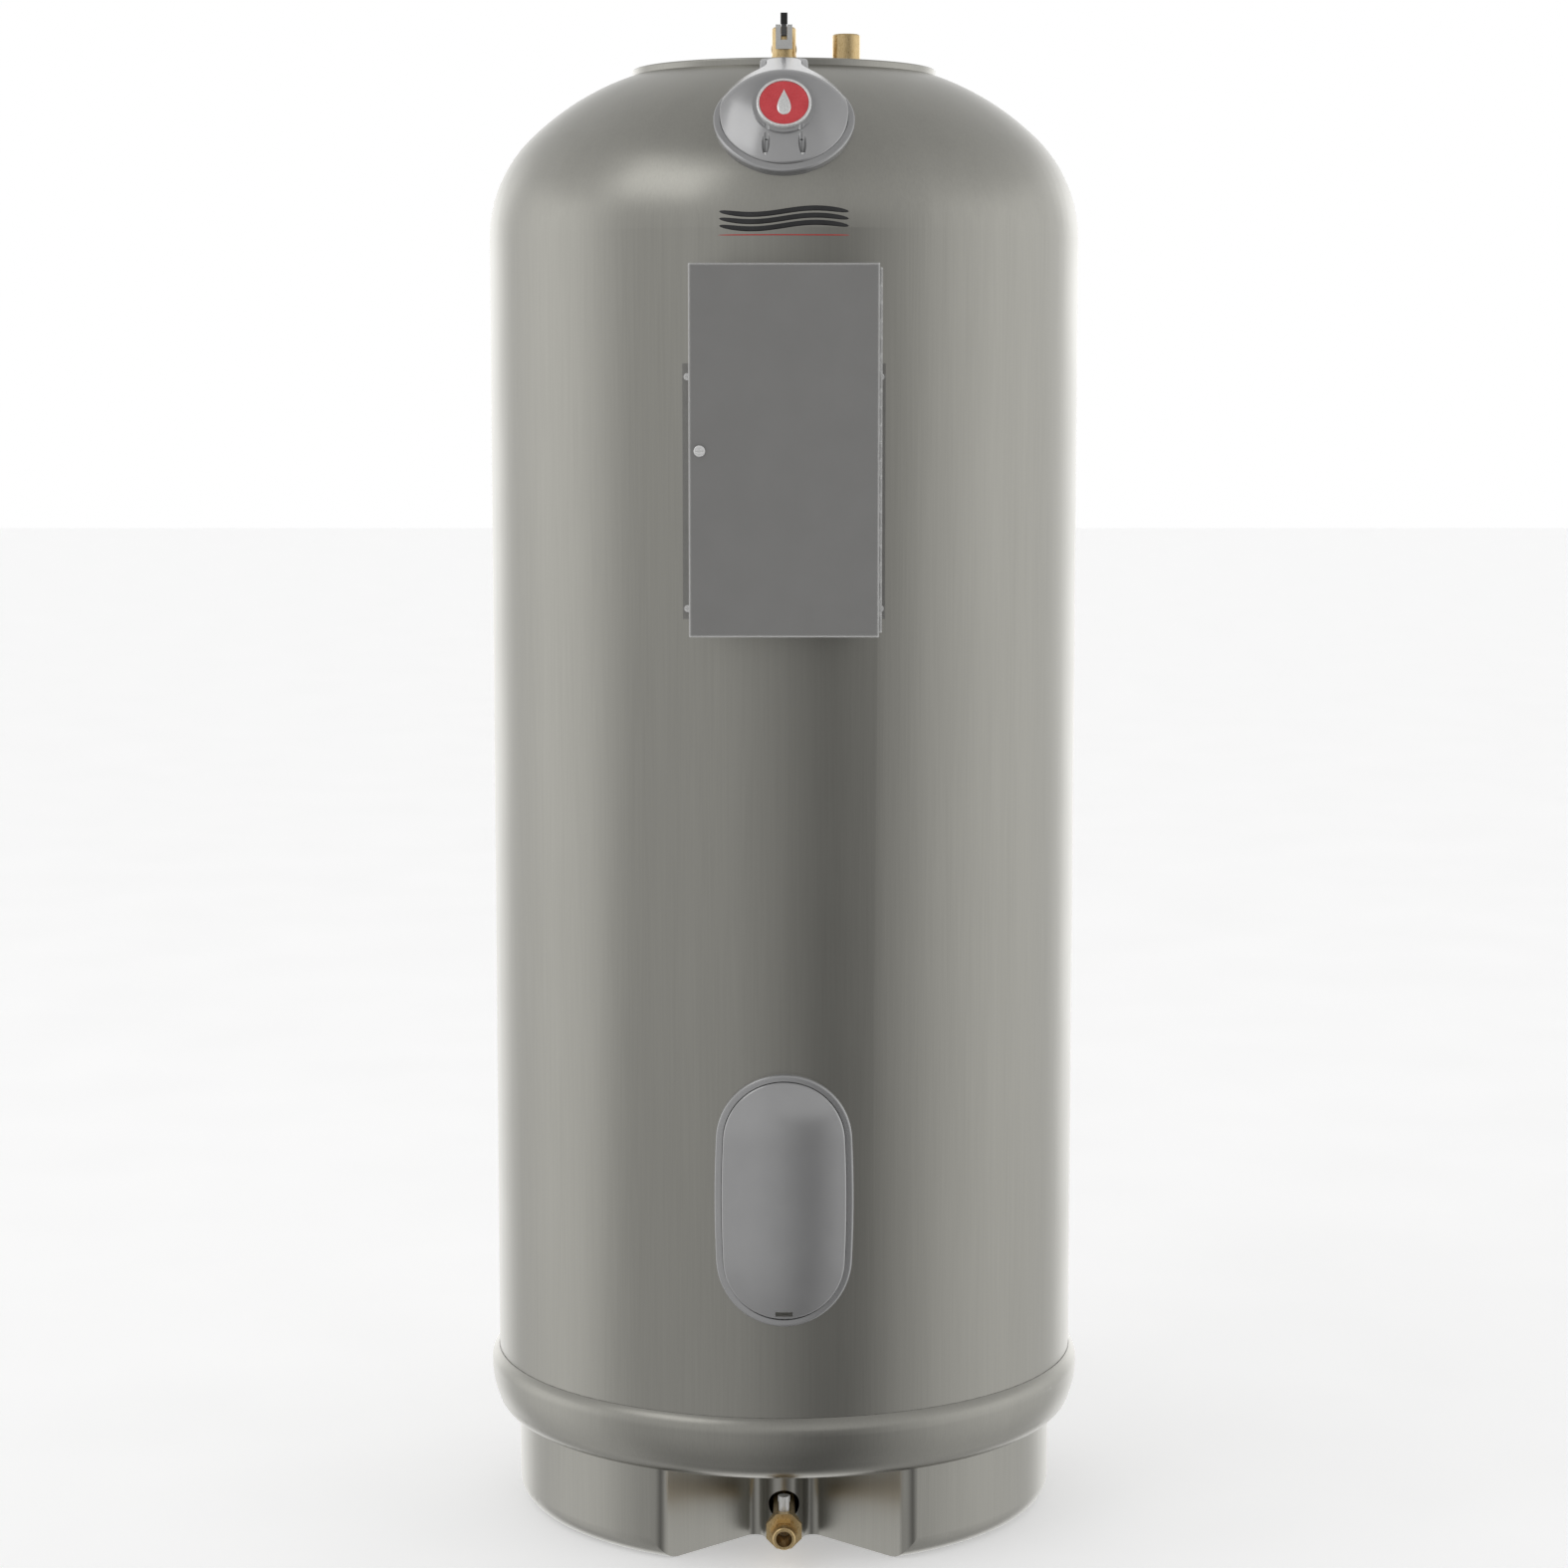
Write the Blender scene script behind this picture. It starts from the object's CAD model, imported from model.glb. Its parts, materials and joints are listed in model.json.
"""Looks of the tank water heater: materials, small raised details, camera, light and floor."""
import json
import math

import bpy
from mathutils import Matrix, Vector
from mathutils.bvhtree import BVHTree


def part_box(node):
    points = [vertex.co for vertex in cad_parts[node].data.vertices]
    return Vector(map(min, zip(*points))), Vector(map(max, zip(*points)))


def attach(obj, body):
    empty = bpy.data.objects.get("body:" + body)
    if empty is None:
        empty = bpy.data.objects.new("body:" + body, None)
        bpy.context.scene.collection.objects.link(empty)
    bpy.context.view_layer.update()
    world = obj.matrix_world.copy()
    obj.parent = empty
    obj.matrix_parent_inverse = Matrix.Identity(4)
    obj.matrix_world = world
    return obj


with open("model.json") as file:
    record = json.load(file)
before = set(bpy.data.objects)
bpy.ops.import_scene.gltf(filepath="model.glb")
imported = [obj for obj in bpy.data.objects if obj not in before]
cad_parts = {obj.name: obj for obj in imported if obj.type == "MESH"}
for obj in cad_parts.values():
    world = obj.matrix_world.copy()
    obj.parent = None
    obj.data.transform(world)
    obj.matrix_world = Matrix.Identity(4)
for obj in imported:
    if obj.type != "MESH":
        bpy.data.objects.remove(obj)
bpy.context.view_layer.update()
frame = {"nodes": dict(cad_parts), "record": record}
nodes = frame["nodes"]

# Driving sizes, in metres and radians.
DISC_LOW, DISC_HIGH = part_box("badge_disc")
BADGE_CENTRE = (Vector(DISC_LOW) + Vector(DISC_HIGH)) / 2
BADGE_TILT = math.radians(27)
DECAL_HALF_WIDTH = 0.073
DECAL_HEIGHTS = (1.5665, 1.5745, 1.5825)
LINE_HEIGHT = 1.5562
DROP_HALF_WIDTH = 0.0112
DROP_HALF_HEIGHT = 0.0165
CAMERA_AT = (0, -4.3444, 1.3889)
CAMERA_DOWN = 0.1131
CAMERA_LENS = 80.68


# ---------------------------------------------------------------- node graph helpers

def new_material(name, metallic=0.0, **constants):
    """A material with its tree and its Principled shader, with some constant sockets set."""
    material = bpy.data.materials.new(name)
    material.use_nodes = True
    tree = material.node_tree
    shader = tree.nodes["Principled BSDF"]
    shader.inputs["Metallic"].default_value = metallic
    for socket, value in constants.items():
        shader.inputs[socket.replace("_", " ")].default_value = value
    return material, tree, shader


def put(tree, kind, settings=None, **inputs):
    """Adds a node; an input, named or given as _number, is a value or another node's output socket."""
    node = tree.nodes.new(kind)
    for key, value in (settings or {}).items():
        setattr(node, key, value)
    for socket, value in inputs.items():
        by_number = socket[1:].isdigit()
        target = node.inputs[int(socket[1:]) if by_number else socket.replace("_", " ")]
        if isinstance(value, bpy.types.NodeSocket):
            tree.links.new(value, target)
        else:
            target.default_value = value
    return node


def place(tree, scale=(1, 1, 1), rotation=(0, 0, 0)):
    """The object's own coordinates, in metres, stretched by scale."""
    source = put(tree, "ShaderNodeTexCoord").outputs["Object"]
    return put(tree, "ShaderNodeMapping", Vector=source, Scale=scale, Rotation=rotation).outputs["Vector"]


def noise(tree, where, scale, detail=3.0, roughness=0.5):
    """Noise from 0 to 1 at a scale in features per metre."""
    found = put(tree, "ShaderNodeTexNoise", Vector=where, Scale=scale, Detail=detail, Roughness=roughness)
    return found.outputs["Fac"]


def span(tree, value, low, high, start=0.3, end=0.7):
    """Maps a value between start and end to the range from low to high."""
    found = put(tree, "ShaderNodeMapRange", Value=value)
    for socket, number in (("From Min", start), ("From Max", end), ("To Min", low), ("To Max", high)):
        found.inputs[socket].default_value = number
    return found.outputs["Result"]


def maths(tree, operation, first, second=0.0):
    """The result of an operation on one or two values."""
    return put(tree, "ShaderNodeMath", {"operation": operation}, _0=first, _1=second).outputs[0]


def blend_colours(tree, factor, dark, light):
    """A colour between two, by a factor from 0 to 1."""
    found = put(tree, "ShaderNodeMix", {"data_type": "RGBA"})
    tree.links.new(factor, found.inputs[0])
    for slot, colour in ((6, dark), (7, light)):
        if isinstance(colour, bpy.types.NodeSocket):
            tree.links.new(colour, found.inputs[slot])
        else:
            found.inputs[slot].default_value = (*colour, 1)
    return found.outputs[2]


def bump(tree, shader, height, strength, distance):
    """Raises the surface by a height from 0 to 1, over a distance in metres."""
    found = put(tree, "ShaderNodeBump", Height=height, Strength=strength, Distance=distance)
    tree.links.new(found.outputs["Normal"], shader.inputs["Normal"])


def feed(tree, value, shader, socket):
    """Links a value to one of the shader's sockets."""
    tree.links.new(value, shader.inputs[socket])


def edge_wear(tree, reach=0.0012):
    """1 on sharp outer edges and 0 on flats, by how far the surface bends within a small radius."""
    bevel = put(tree, "ShaderNodeBevel", {"samples": 4}, Radius=reach)
    face = put(tree, "ShaderNodeNewGeometry").outputs["Normal"]
    dot = put(tree, "ShaderNodeVectorMath", {"operation": "DOT_PRODUCT"}, _0=bevel.outputs["Normal"], _1=face)
    return span(tree, dot.outputs["Value"], 1.0, 0.0, 0.86, 0.995)


# ---------------------------------------------------------------- materials

def jacket_material():
    """Warm grey satin plastic with metal flake and faint upright brushing."""
    material, tree, shader = new_material("jacket_satin", metallic=1.0)
    shader.inputs["Specular IOR Level"].default_value = 0.5
    streaks = noise(tree, place(tree, (1, 1, 0.012)), 520, detail=6, roughness=0.62)
    broad = noise(tree, place(tree, (1, 1, 0.05)), 26, detail=3)
    cloudy = noise(tree, place(tree), 5, detail=4)
    flake = noise(tree, place(tree), 2600, detail=1)
    brushed = span(tree, streaks, 0, 1, 0.25, 0.75)
    tone = blend_colours(tree, brushed, (0.337, 0.331, 0.302), (0.387, 0.380, 0.347))
    tone = blend_colours(tree, span(tree, broad, 0, 0.35), tone, (0.412, 0.404, 0.369))
    tone = blend_colours(tree, span(tree, flake, 0, 0.22, 0.45, 0.75), tone, (0.52, 0.51, 0.468))
    feed(tree, tone, shader, "Base Color")
    feed(tree, span(tree, cloudy, 0.31, 0.35), shader, "Roughness")
    bump(tree, shader, streaks, 0.10, 0.0003)
    return material


def cover_material():
    """Light grey plastic with a pearly semi-gloss finish and a fine spark-eroded grain."""
    material, tree, shader = new_material("cover_plastic", metallic=0.65)
    shader.inputs["Specular IOR Level"].default_value = 0.55
    shader.inputs["Coat Weight"].default_value = 0.45
    shader.inputs["Coat Roughness"].default_value = 0.2
    grain = noise(tree, place(tree), 1500, detail=4)
    tint = noise(tree, place(tree), 30, detail=3)
    tone = blend_colours(tree, span(tree, tint, 0, 1), (0.385, 0.385, 0.387), (0.403, 0.403, 0.405))
    tone = blend_colours(tree, span(tree, edge_wear(tree), 0, 0.35, 0, 1), tone, (0.50, 0.50, 0.50))
    feed(tree, tone, shader, "Base Color")
    feed(tree, span(tree, grain, 0.18, 0.24), shader, "Roughness")
    bump(tree, shader, grain, 0.06, 0.0002)
    return material


def paint_material():
    """Mid grey powder coat with orange peel, worn a little lighter on its folded edges."""
    material, tree, shader = new_material("grey_powder_coat")
    peel = noise(tree, place(tree), 700, detail=2)
    tint = noise(tree, place(tree), 22, detail=4)
    tone = blend_colours(tree, span(tree, tint, 0, 1), (0.196, 0.194, 0.189), (0.206, 0.204, 0.199))
    tone = blend_colours(tree, span(tree, edge_wear(tree, 0.0032), 0, 1, 0, 0.7), tone, (0.62, 0.62, 0.61))
    feed(tree, tone, shader, "Base Color")
    feed(tree, span(tree, peel, 0.40, 0.52), shader, "Roughness")
    bump(tree, shader, peel, 0.14, 0.0003)
    return material


def metal_material(name, dark, light, rough, streak, grain=900.0, tarnish=0.15, stretched=(1, 1, 1),
                   metallic=1.0):
    """A bare metal with machining streaks and slightly darker tarnish in patches."""
    material, tree, shader = new_material(name, metallic=metallic)
    marks = noise(tree, place(tree, stretched), grain, detail=5, roughness=0.6)
    patches = noise(tree, place(tree), 60, detail=4)
    tone = blend_colours(tree, span(tree, marks, 0, 1), dark, light)
    stain = tuple(0.45 * channel for channel in dark)
    tone = blend_colours(tree, span(tree, patches, 0, tarnish, 0.5, 0.75), tone, stain)
    feed(tree, tone, shader, "Base Color")
    feed(tree, span(tree, marks, rough, rough + 0.16), shader, "Roughness")
    bump(tree, shader, marks, streak, 0.0002)
    return material


def moulded_material(name, dark, light, rough, grain=1200.0, sheen=0.0):
    """Moulded plastic or rubber with a fine grain and slight tone changes."""
    material, tree, shader = new_material(name)
    shader.inputs["Sheen Weight"].default_value = sheen
    fine = noise(tree, place(tree), grain, detail=4)
    tint = noise(tree, place(tree), 40, detail=3)
    feed(tree, blend_colours(tree, span(tree, tint, 0, 1), dark, light), shader, "Base Color")
    feed(tree, span(tree, fine, rough, rough + 0.14), shader, "Roughness")
    bump(tree, shader, fine, 0.15, 0.0002)
    return material


def badge_material():
    """Deep red glossy enamel under a clear coat."""
    material, tree, shader = new_material("badge_enamel")
    shader.inputs["Coat Weight"].default_value = 0.8
    shader.inputs["Coat Roughness"].default_value = 0.06
    cloud = noise(tree, place(tree), 70, detail=3)
    tone = blend_colours(tree, span(tree, cloud, 0, 1), (0.60, 0.035, 0.045), (0.68, 0.055, 0.065))
    feed(tree, tone, shader, "Base Color")
    feed(tree, span(tree, noise(tree, place(tree), 900), 0.22, 0.32), shader, "Roughness")
    return material


def foam_material():
    """Poured insulating foam: cream, porous, browner in patches."""
    material, tree, shader = new_material("poured_foam")
    cells = put(tree, "ShaderNodeTexVoronoi", Vector=place(tree), Scale=420.0).outputs["Distance"]
    tint = noise(tree, place(tree), 18, detail=6)
    tone = blend_colours(tree, span(tree, tint, 0, 1), (0.70, 0.55, 0.27), (0.86, 0.74, 0.44))
    tone = blend_colours(tree, span(tree, cells, 0.5, 0, 0.0, 0.3), tone, (0.45, 0.33, 0.14))
    feed(tree, tone, shader, "Base Color")
    shader.inputs["Roughness"].default_value = 0.9
    bump(tree, shader, cells, 0.6, 0.002)
    return material


def winding_material():
    """Glass fibre wound in crossing bands in amber resin."""
    material, tree, shader = new_material("wound_glass_fibre")
    bands = [
        put(tree, "ShaderNodeTexWave", {"bands_direction": "X"}, Vector=place(tree, rotation=(0, turn, 0)),
            Scale=60.0, Distortion=1.2, Detail=3.0).outputs["Fac"]
        for turn in (0.9, -0.9)
    ]
    crossed = put(tree, "ShaderNodeMath", {"operation": "MAXIMUM"}, _0=bands[0], _1=bands[1]).outputs[0]
    feed(tree, blend_colours(tree, crossed, (0.42, 0.42, 0.22), (0.70, 0.70, 0.50)), shader, "Base Color")
    feed(tree, span(tree, crossed, 0.25, 0.5, 0, 1), shader, "Roughness")
    bump(tree, shader, crossed, 0.4, 0.001)
    return material


MATERIALS = {
    "jacket_plastic": jacket_material(),
    "cover_plastic": cover_material(),
    "grey_paint": paint_material(),
    "brass": metal_material("turned_brass", (0.56, 0.40, 0.19), (0.80, 0.62, 0.34), 0.24, 0.12,
                            stretched=(1, 1, 0.25)),
    "steel": metal_material("zinc_steel", (0.64, 0.64, 0.63), (0.76, 0.76, 0.74), 0.30, 0.10, tarnish=0.1,
                            metallic=0.5),
    "dark_steel": metal_material("black_steel", (0.10, 0.10, 0.10), (0.16, 0.16, 0.16), 0.35, 0.10,
                                 metallic=0.8),
    "bright_trim": metal_material("bright_plating", (0.80, 0.80, 0.79), (0.90, 0.90, 0.89), 0.16, 0.05,
                                  tarnish=0.03, metallic=0.6),
    "badge_red": badge_material(),
    "black_plastic": moulded_material("black_moulding", (0.018, 0.018, 0.019), (0.032, 0.032, 0.034), 0.38),
    "black_rubber": moulded_material("black_grip", (0.012, 0.012, 0.012), (0.024, 0.024, 0.024), 0.55,
                                     sheen=0.1),
    "foam": foam_material(),
    "fibreglass": winding_material(),
    "liner_plastic": moulded_material("milky_liner", (0.72, 0.73, 0.71), (0.80, 0.81, 0.79), 0.35),
    "pipe_plastic": moulded_material("cream_pipe", (0.60, 0.57, 0.46), (0.68, 0.65, 0.54), 0.35),
    "element_steel": metal_material("element_sheath", (0.30, 0.28, 0.26), (0.46, 0.43, 0.40), 0.32, 0.15),
    "red_plastic": moulded_material("red_button", (0.55, 0.02, 0.02), (0.65, 0.04, 0.03), 0.3),
    "white_ceramic": moulded_material("white_ceramic", (0.72, 0.70, 0.64), (0.82, 0.80, 0.74), 0.45),
}


# The plate behind the box is duller than the rest of the steel.
ON_NODES = {
    "box_mounting_plate": metal_material("dull_zinc", (0.34, 0.335, 0.32), (0.42, 0.415, 0.395), 0.34, 0.10,
                                         tarnish=0.1, metallic=0.9),
}


def dress_nodes():
    """Gives every CAD node the material of its slot in the record."""
    for entry in frame["record"]["subparts"]:
        mesh = nodes[entry["node"]].data
        material = ON_NODES.get(entry["node"]) or MATERIALS[entry["material_slot"]]
        if not mesh.materials:
            mesh.materials.append(material)
        for index in range(len(mesh.materials)):
            mesh.materials[index] = material


# ---------------------------------------------------------------- trim pieces

def surface_of(node):
    """The faces of a CAD node, to lay trim on."""
    mesh = nodes[node].data
    return BVHTree.FromPolygons([v.co for v in mesh.vertices], [list(f.vertices) for f in mesh.polygons])


def settle(surface, above, towards, lift):
    """The point where a ray meets the surface, raised by lift."""
    spot, normal, _, _ = surface.ray_cast(Vector(above), towards)
    return spot - towards * lift


def make_piece(name, points, faces, slot):
    """A mesh piece on the heater's body, with its slot's material."""
    mesh = bpy.data.meshes.new(name)
    mesh.from_pydata(points, [], faces)
    mesh.shade_smooth()
    piece = bpy.data.objects.new(name, mesh)
    bpy.context.collection.objects.link(piece)
    mesh.materials.append(MATERIALS[slot])
    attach(piece, "heater")
    return piece


def make_stripe(name, surface, centre, half_width, half_height, rise, slot, columns=96, rows=4):
    """A printed film on the front of the jacket: a band whose middle rises and falls once across."""
    points = []
    faces = []
    for column in range(columns + 1):
        across = 2 * column / columns - 1
        middle = centre + rise * math.sin(math.pi * across)
        taper = math.sqrt(max(0.0, 1 - across ** 8)) + 0.02
        for row in range(rows + 1):
            up = middle + half_height * taper * (2 * row / rows - 1)
            points.append(settle(surface, (across * half_width, -1, up), Vector((0, 1, 0)), 0.00025))
    for column in range(columns):
        for row in range(rows):
            start = column * (rows + 1) + row
            faces.append((start, start + rows + 1, start + rows + 2, start + 1))
    piece = make_piece(name, points, faces, slot)
    film = piece.modifiers.new("film", "SOLIDIFY")
    film.thickness = 0.0005
    film.offset = -1


def make_emblem():
    """A raised water drop with rounded flanks in the middle of the red disc."""
    surface = surface_of("badge_disc")
    axis = Vector((0, -math.cos(BADGE_TILT), math.sin(BADGE_TILT)))
    upward = Vector((0, math.sin(BADGE_TILT), math.cos(BADGE_TILT)))
    outline = []
    for step in range(64):
        turn = 2 * math.pi * step / 64
        pinch = math.sin(turn / 2) ** 1.5
        outline.append((DROP_HALF_WIDTH * math.sin(turn) * pinch, DROP_HALF_HEIGHT * math.cos(turn) + 0.001))
    rings = ((1.0, -0.0004), (1.0, 0.0002), (0.97, 0.0006), (0.90, 0.0009), (0.7, 0.0011), (0.4, 0.0012))
    points = []
    for reach, lift in rings:
        for across, up in outline:
            start = BADGE_CENTRE + axis * 0.03 + upward * (up * reach) + Vector((across * reach, 0, 0))
            points.append(settle(surface, start, -axis, lift))
    count = len(outline)
    faces = [tuple(range(count)), tuple(reversed(range((len(rings) - 1) * count, len(rings) * count)))]
    for ring in range(len(rings) - 1):
        for step in range(count):
            a = ring * count + step
            b = ring * count + (step + 1) % count
            faces.append((a, a + count, b + count, b))
    make_piece("badge_drop", points, faces, "bright_trim")


def make_trim():
    """Plain printed waves and a fine red line on the jacket, and the drop on the badge."""
    jacket = surface_of("outer_jacket")
    for index, centre in enumerate(DECAL_HEIGHTS):
        make_stripe(f"decal_wave_{index}", jacket, centre, DECAL_HALF_WIDTH, 0.0028, 0.0036, "black_plastic")
    make_stripe("decal_line", jacket, LINE_HEIGHT, DECAL_HALF_WIDTH + 0.001, 0.0006, 0.0, "red_plastic")
    make_emblem()


# ---------------------------------------------------------------- studio

# Soft light panels round the object. Each has the direction of its middle, in degrees from the front,
# positive to the viewer's right; how far out it is fully bright; how far out it fades; and its brightness.
PANELS = {
    "back_wall": (180, 30, 55, 2.0),
    "left_wall": (-100, 10, 50, 1.2),
    "right_wall": (100, 5, 85, 1.1),
    "left_fill": (-35, 10, 60, 0.65),
}
# Brightness of the gap round the camera, of the panel above it, and of the walls above the object's middle.
DARK_GAP = 0.2
FRONT_PANEL = 0.6
WALL_TOP = 0.75
# Factors on the light by how steeply it comes from above: the factors, and the two steepnesses they hold at.
FADES = {
    "under_the_horizon": (0.84, 1.0, -0.25, 0.0),
    "straight_down": (0.5, 1.0, -1.0, -0.25),
    "roof": (1.0, 0.65, 0.45, 0.95),
}


def make_world():
    """A soft white studio: bright walls beside and behind the object, and a dark gap round the camera."""
    world = bpy.data.worlds.new("studio")
    bpy.context.scene.world = world
    world.use_nodes = True
    tree = world.node_tree
    tree.nodes.clear()
    direction = put(tree, "ShaderNodeTexCoord").outputs["Generated"]
    parts = put(tree, "ShaderNodeSeparateXYZ", Vector=direction)
    angle = maths(tree, "ARCTAN2", parts.outputs["X"], maths(tree, "MULTIPLY", parts.outputs["Y"], -1.0))
    around = DARK_GAP
    for centre, bright, faded, brightness in PANELS.values():
        turned = maths(tree, "SUBTRACT", angle, math.radians(centre))
        facing = maths(tree, "COSINE", turned)
        ends = math.cos(math.radians(faded)), math.cos(math.radians(bright))
        share = span(tree, facing, 0, brightness, *ends)
        around = maths(tree, "MAXIMUM", around, share)
    height = parts.outputs["Z"]
    brightest = max(brightness for _, _, _, brightness in PANELS.values())
    around = maths(tree, "MINIMUM", around, span(tree, height, brightest, WALL_TOP, 0.1, 0.4))
    around = maths(tree, "MAXIMUM", around, span(tree, height, 0, FRONT_PANEL, 0.03, 0.2))
    for fade in FADES.values():
        around = maths(tree, "MULTIPLY", around, span(tree, height, *fade))
    walls = put(tree, "ShaderNodeBackground", Color=(1, 1, 1, 1), Strength=around)
    white = put(tree, "ShaderNodeBackground", Color=(1, 1, 1, 1), Strength=1.0)
    seen = put(tree, "ShaderNodeLightPath").outputs["Is Camera Ray"]
    mixed = put(tree, "ShaderNodeMixShader", _0=seen, _1=walls.outputs[0], _2=white.outputs[0])
    put(tree, "ShaderNodeOutputWorld", Surface=mixed.outputs[0])


def make_floor():
    """A large pale floor under the base."""
    mesh = bpy.data.meshes.new("floor")
    half = 30.0
    corners = [(-half, -half, 0), (half, -half, 0), (half, half, 0), (-half, half, 0)]
    mesh.from_pydata(corners, [], [(0, 1, 2, 3)])
    floor = bpy.data.objects.new("floor", mesh)
    bpy.context.collection.objects.link(floor)
    material, tree, shader = new_material("pale_floor")
    mottle = noise(tree, place(tree), 3, detail=2)
    feed(tree, blend_colours(tree, span(tree, mottle, 0, 1), (0.90, 0.90, 0.90), (0.93, 0.93, 0.93)), shader,
         "Base Color")
    shader.inputs["Roughness"].default_value = 0.8
    shader.inputs["Specular IOR Level"].default_value = 0.1
    shader.inputs["Emission Color"].default_value = (1, 1, 1, 1)
    shader.inputs["Emission Strength"].default_value = 0.35
    mesh.materials.append(material)
    floor.visible_glossy = False


def area_light(name, place_at, aim, size, power):
    """A soft rectangular lamp pointed at aim, in metres and watts."""
    light = bpy.data.lights.new(name, "AREA")
    light.shape = "RECTANGLE"
    light.size, light.size_y = size
    light.energy = power
    lamp = bpy.data.objects.new(name, light)
    lamp.location = place_at
    lamp.rotation_euler = (Vector(aim) - Vector(place_at)).to_track_quat("-Z", "Y").to_euler()
    bpy.context.collection.objects.link(lamp)


def make_camera():
    """The camera in front of the object, above its middle and tilted a little down."""
    camera = bpy.data.cameras.new("camera")
    camera.sensor_width = 36
    camera.lens = CAMERA_LENS
    eye = bpy.data.objects.new("camera", camera)
    eye.location = CAMERA_AT
    eye.rotation_euler = (math.pi / 2 - CAMERA_DOWN, 0, 0)
    bpy.context.collection.objects.link(eye)
    bpy.context.scene.camera = eye


dress_nodes()
make_trim()
make_world()
make_floor()
make_camera()
area_light("high_left", (-3.4, -2.75, 4.9), (0, 0, 1.5), (3.4, 2.6), 26)
bpy.context.scene.view_settings.view_transform = "Standard"
